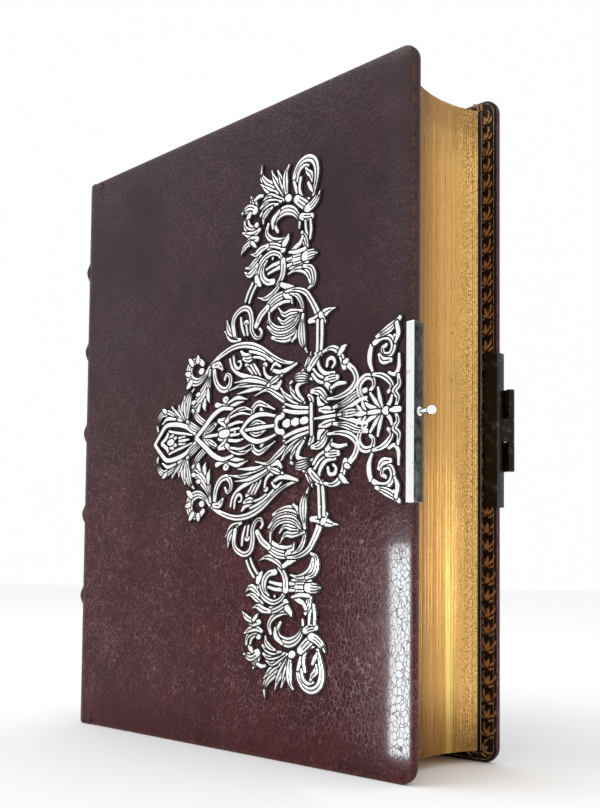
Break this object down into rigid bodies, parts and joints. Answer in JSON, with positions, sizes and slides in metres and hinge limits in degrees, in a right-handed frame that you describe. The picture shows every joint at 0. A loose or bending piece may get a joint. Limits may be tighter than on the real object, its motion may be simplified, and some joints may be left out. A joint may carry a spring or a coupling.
{
  "type": "prayer book",
  "caption": "Leather-bound prayer book with raised bands, gilt hollow fore-edge, pierced silver cover ornament, catch plate and hinged clasp.",
  "frame": {"origin": "on the standing surface, under the centre of the whole book's bounding box", "axes": "+Z from the tail edge up to the head, +X towards the fore-edge, -Y out of the front cover"},
  "size_m": [0.1558, 0.0469, 0.19],
  "materials": {
    "leather": "pebble-grained, semi-gloss",
    "pasteboard": "matte",
    "gilt_paper": "gilt edges",
    "endpaper": "matte, aged",
    "leaf_paper": "matte, aged",
    "lining": "open weave",
    "cord": "twisted hemp",
    "headband_silk": "wound silk",
    "silver": "cast silver, polished",
    "dark_silver": "oxidised silver"
  },
  "bodies": {
    "text_and_spine": {"text_block": "gilt_paper", "spine_lining": "lining", "sewing_cords": "cord", "spine_leather": "leather", "head_band": "headband_silk", "tail_band": "headband_silk", "front_endpaper_stub": "endpaper", "back_endpaper_stub": "endpaper"},
    "front_cover": {"front_cover_leather": "leather", "front_board": "pasteboard", "front_pastedown": "endpaper", "plaque": "silver", "plaque_rivets": "silver", "catch_ornament": "silver", "catch_rivets": "silver", "catch_plate": "silver", "catch_pin": "silver"},
    "back_cover": {"back_cover_leather": "leather", "back_board": "pasteboard", "back_pastedown": "endpaper", "hinge_plate": "dark_silver", "hinge_rivets": "dark_silver"},
    "clasp": {"clasp_arm": "dark_silver", "hinge_pin": "dark_silver"},
    "front_endpaper_leaf": {"front_free_endpaper": "endpaper"},
    "front_first_leaf": {"front_leaf": "leaf_paper"},
    "back_last_leaf": {"back_leaf": "leaf_paper"},
    "back_endpaper_leaf": {"back_free_endpaper": "endpaper"}
  },
  "joints": [
    {"name": "front_cover_hinge", "type": "hinge", "parent": "text_and_spine", "child": "front_cover", "pos_m": [-0.06675, -0.02205, 0.095], "axis": [0, 0, -1], "range_deg": [0, 180]},
    {"name": "back_cover_hinge", "type": "hinge", "parent": "text_and_spine", "child": "back_cover", "pos_m": [-0.06675, 0.02055, 0.095], "axis": [0, 0, 1], "range_deg": [0, 180]},
    {"name": "clasp_hinge", "type": "hinge", "parent": "back_cover", "child": "clasp", "pos_m": [0.074, 0.0223, 0.095], "axis": [0, 0, -1], "range_deg": [0, 270]},
    {"name": "front_endpaper_turn", "type": "hinge", "parent": "text_and_spine", "child": "front_endpaper_leaf", "pos_m": [-0.05675, -0.01905, 0.095], "axis": [0, 0, -1], "range_deg": [0, 144]},
    {"name": "front_leaf_turn", "type": "hinge", "parent": "text_and_spine", "child": "front_first_leaf", "pos_m": [-0.05575, -0.01875, 0.095], "axis": [0, 0, -1], "range_deg": [0, 99]},
    {"name": "back_endpaper_turn", "type": "hinge", "parent": "text_and_spine", "child": "back_endpaper_leaf", "pos_m": [-0.05675, 0.01755, 0.095], "axis": [0, 0, 1], "range_deg": [0, 144]},
    {"name": "back_leaf_turn", "type": "hinge", "parent": "text_and_spine", "child": "back_last_leaf", "pos_m": [-0.05575, 0.01725, 0.095], "axis": [0, 0, 1], "range_deg": [0, 99]}
  ],
  "couplings": [
    {"joint": "front_endpaper_turn", "follows": "front_cover_hinge", "ratio": 0.8},
    {"joint": "front_leaf_turn", "follows": "front_cover_hinge", "ratio": 0.55},
    {"joint": "back_endpaper_turn", "follows": "back_cover_hinge", "ratio": 0.8},
    {"joint": "back_leaf_turn", "follows": "back_cover_hinge", "ratio": 0.55}
  ]
}
